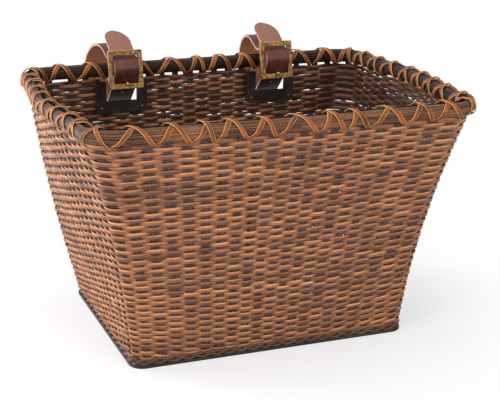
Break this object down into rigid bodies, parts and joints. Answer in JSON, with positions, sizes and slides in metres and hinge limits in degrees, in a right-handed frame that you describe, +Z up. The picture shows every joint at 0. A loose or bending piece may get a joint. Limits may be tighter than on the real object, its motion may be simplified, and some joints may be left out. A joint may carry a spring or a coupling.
{
  "type": "bicycle basket",
  "caption": "Tapered woven cane bicycle basket with a lashed rim, hung on a handlebar by buckled leather straps.",
  "frame": {"origin": "middle of the base's underside", "axes": "+X along the handlebar, +Y towards the bicycle (back wall and straps), +Z up"},
  "size_m": [0.3602, 0.3048, 0.2418],
  "materials": {
    "woven_cane": "stained flat cane, satin",
    "rim_cane": "dark stained cane, satin",
    "lashing_cane": "orange-brown split cane",
    "base_wood": "dark stained",
    "frame_black": "matt black",
    "strap_leather": "smooth red-brown grain side, tan flesh side and edges",
    "buckle_brass": "antique brass",
    "tack_steel": "plain steel"
  },
  "bodies": {
    "basket": {"base_hoop": "base_wood", "base_board": "base_wood", "woven_wall": "woven_cane", "rim_outer_hoop": "rim_cane", "rim_inner_hoop": "rim_cane", "lashing_right_front": "lashing_cane", "lashing_right_back": "lashing_cane", "lashing_left_front": "lashing_cane", "lashing_left_back": "lashing_cane", "strap_frame_left": "frame_black", "frame_tack_left_a": "tack_steel", "frame_tack_left_b": "tack_steel", "strap_frame_right": "frame_black", "frame_tack_right_a": "tack_steel", "frame_tack_right_b": "tack_steel"},
    "strap_left": {"leather_strap_left": "strap_leather", "strap_rivet_left": "buckle_brass"},
    "buckle_left": {"buckle_frame_left": "buckle_brass", "buckle_bar_left": "tack_steel"},
    "prong_left": {"buckle_prong_left": "buckle_brass"},
    "strap_right": {"leather_strap_right": "strap_leather", "strap_rivet_right": "buckle_brass"},
    "buckle_right": {"buckle_frame_right": "buckle_brass", "buckle_bar_right": "tack_steel"},
    "prong_right": {"buckle_prong_right": "buckle_brass"}
  },
  "joints": [
    {"name": "strap_swing_left", "type": "hinge", "parent": "basket", "child": "strap_left", "pos_m": [-0.074, 0.109, 0.208], "axis": [1, 0, 0], "range_deg": [-3, 15]},
    {"name": "buckle_tilt_left", "type": "hinge", "parent": "strap_left", "child": "buckle_left", "pos_m": [-0.074, 0.0885, 0.2115], "axis": [1, 0, 0], "range_deg": [-3, 3]},
    {"name": "prong_lift_left", "type": "hinge", "parent": "buckle_left", "child": "prong_left", "pos_m": [-0.074, 0.0885, 0.2115], "axis": [-1, 0, 0], "range_deg": [0, 5]},
    {"name": "strap_swing_right", "type": "hinge", "parent": "basket", "child": "strap_right", "pos_m": [0.074, 0.109, 0.208], "axis": [1, 0, 0], "range_deg": [-3, 15]},
    {"name": "buckle_tilt_right", "type": "hinge", "parent": "strap_right", "child": "buckle_right", "pos_m": [0.074, 0.0885, 0.2115], "axis": [1, 0, 0], "range_deg": [-3, 3]},
    {"name": "prong_lift_right", "type": "hinge", "parent": "buckle_right", "child": "prong_right", "pos_m": [0.074, 0.0885, 0.2115], "axis": [-1, 0, 0], "range_deg": [0, 5]}
  ]
}
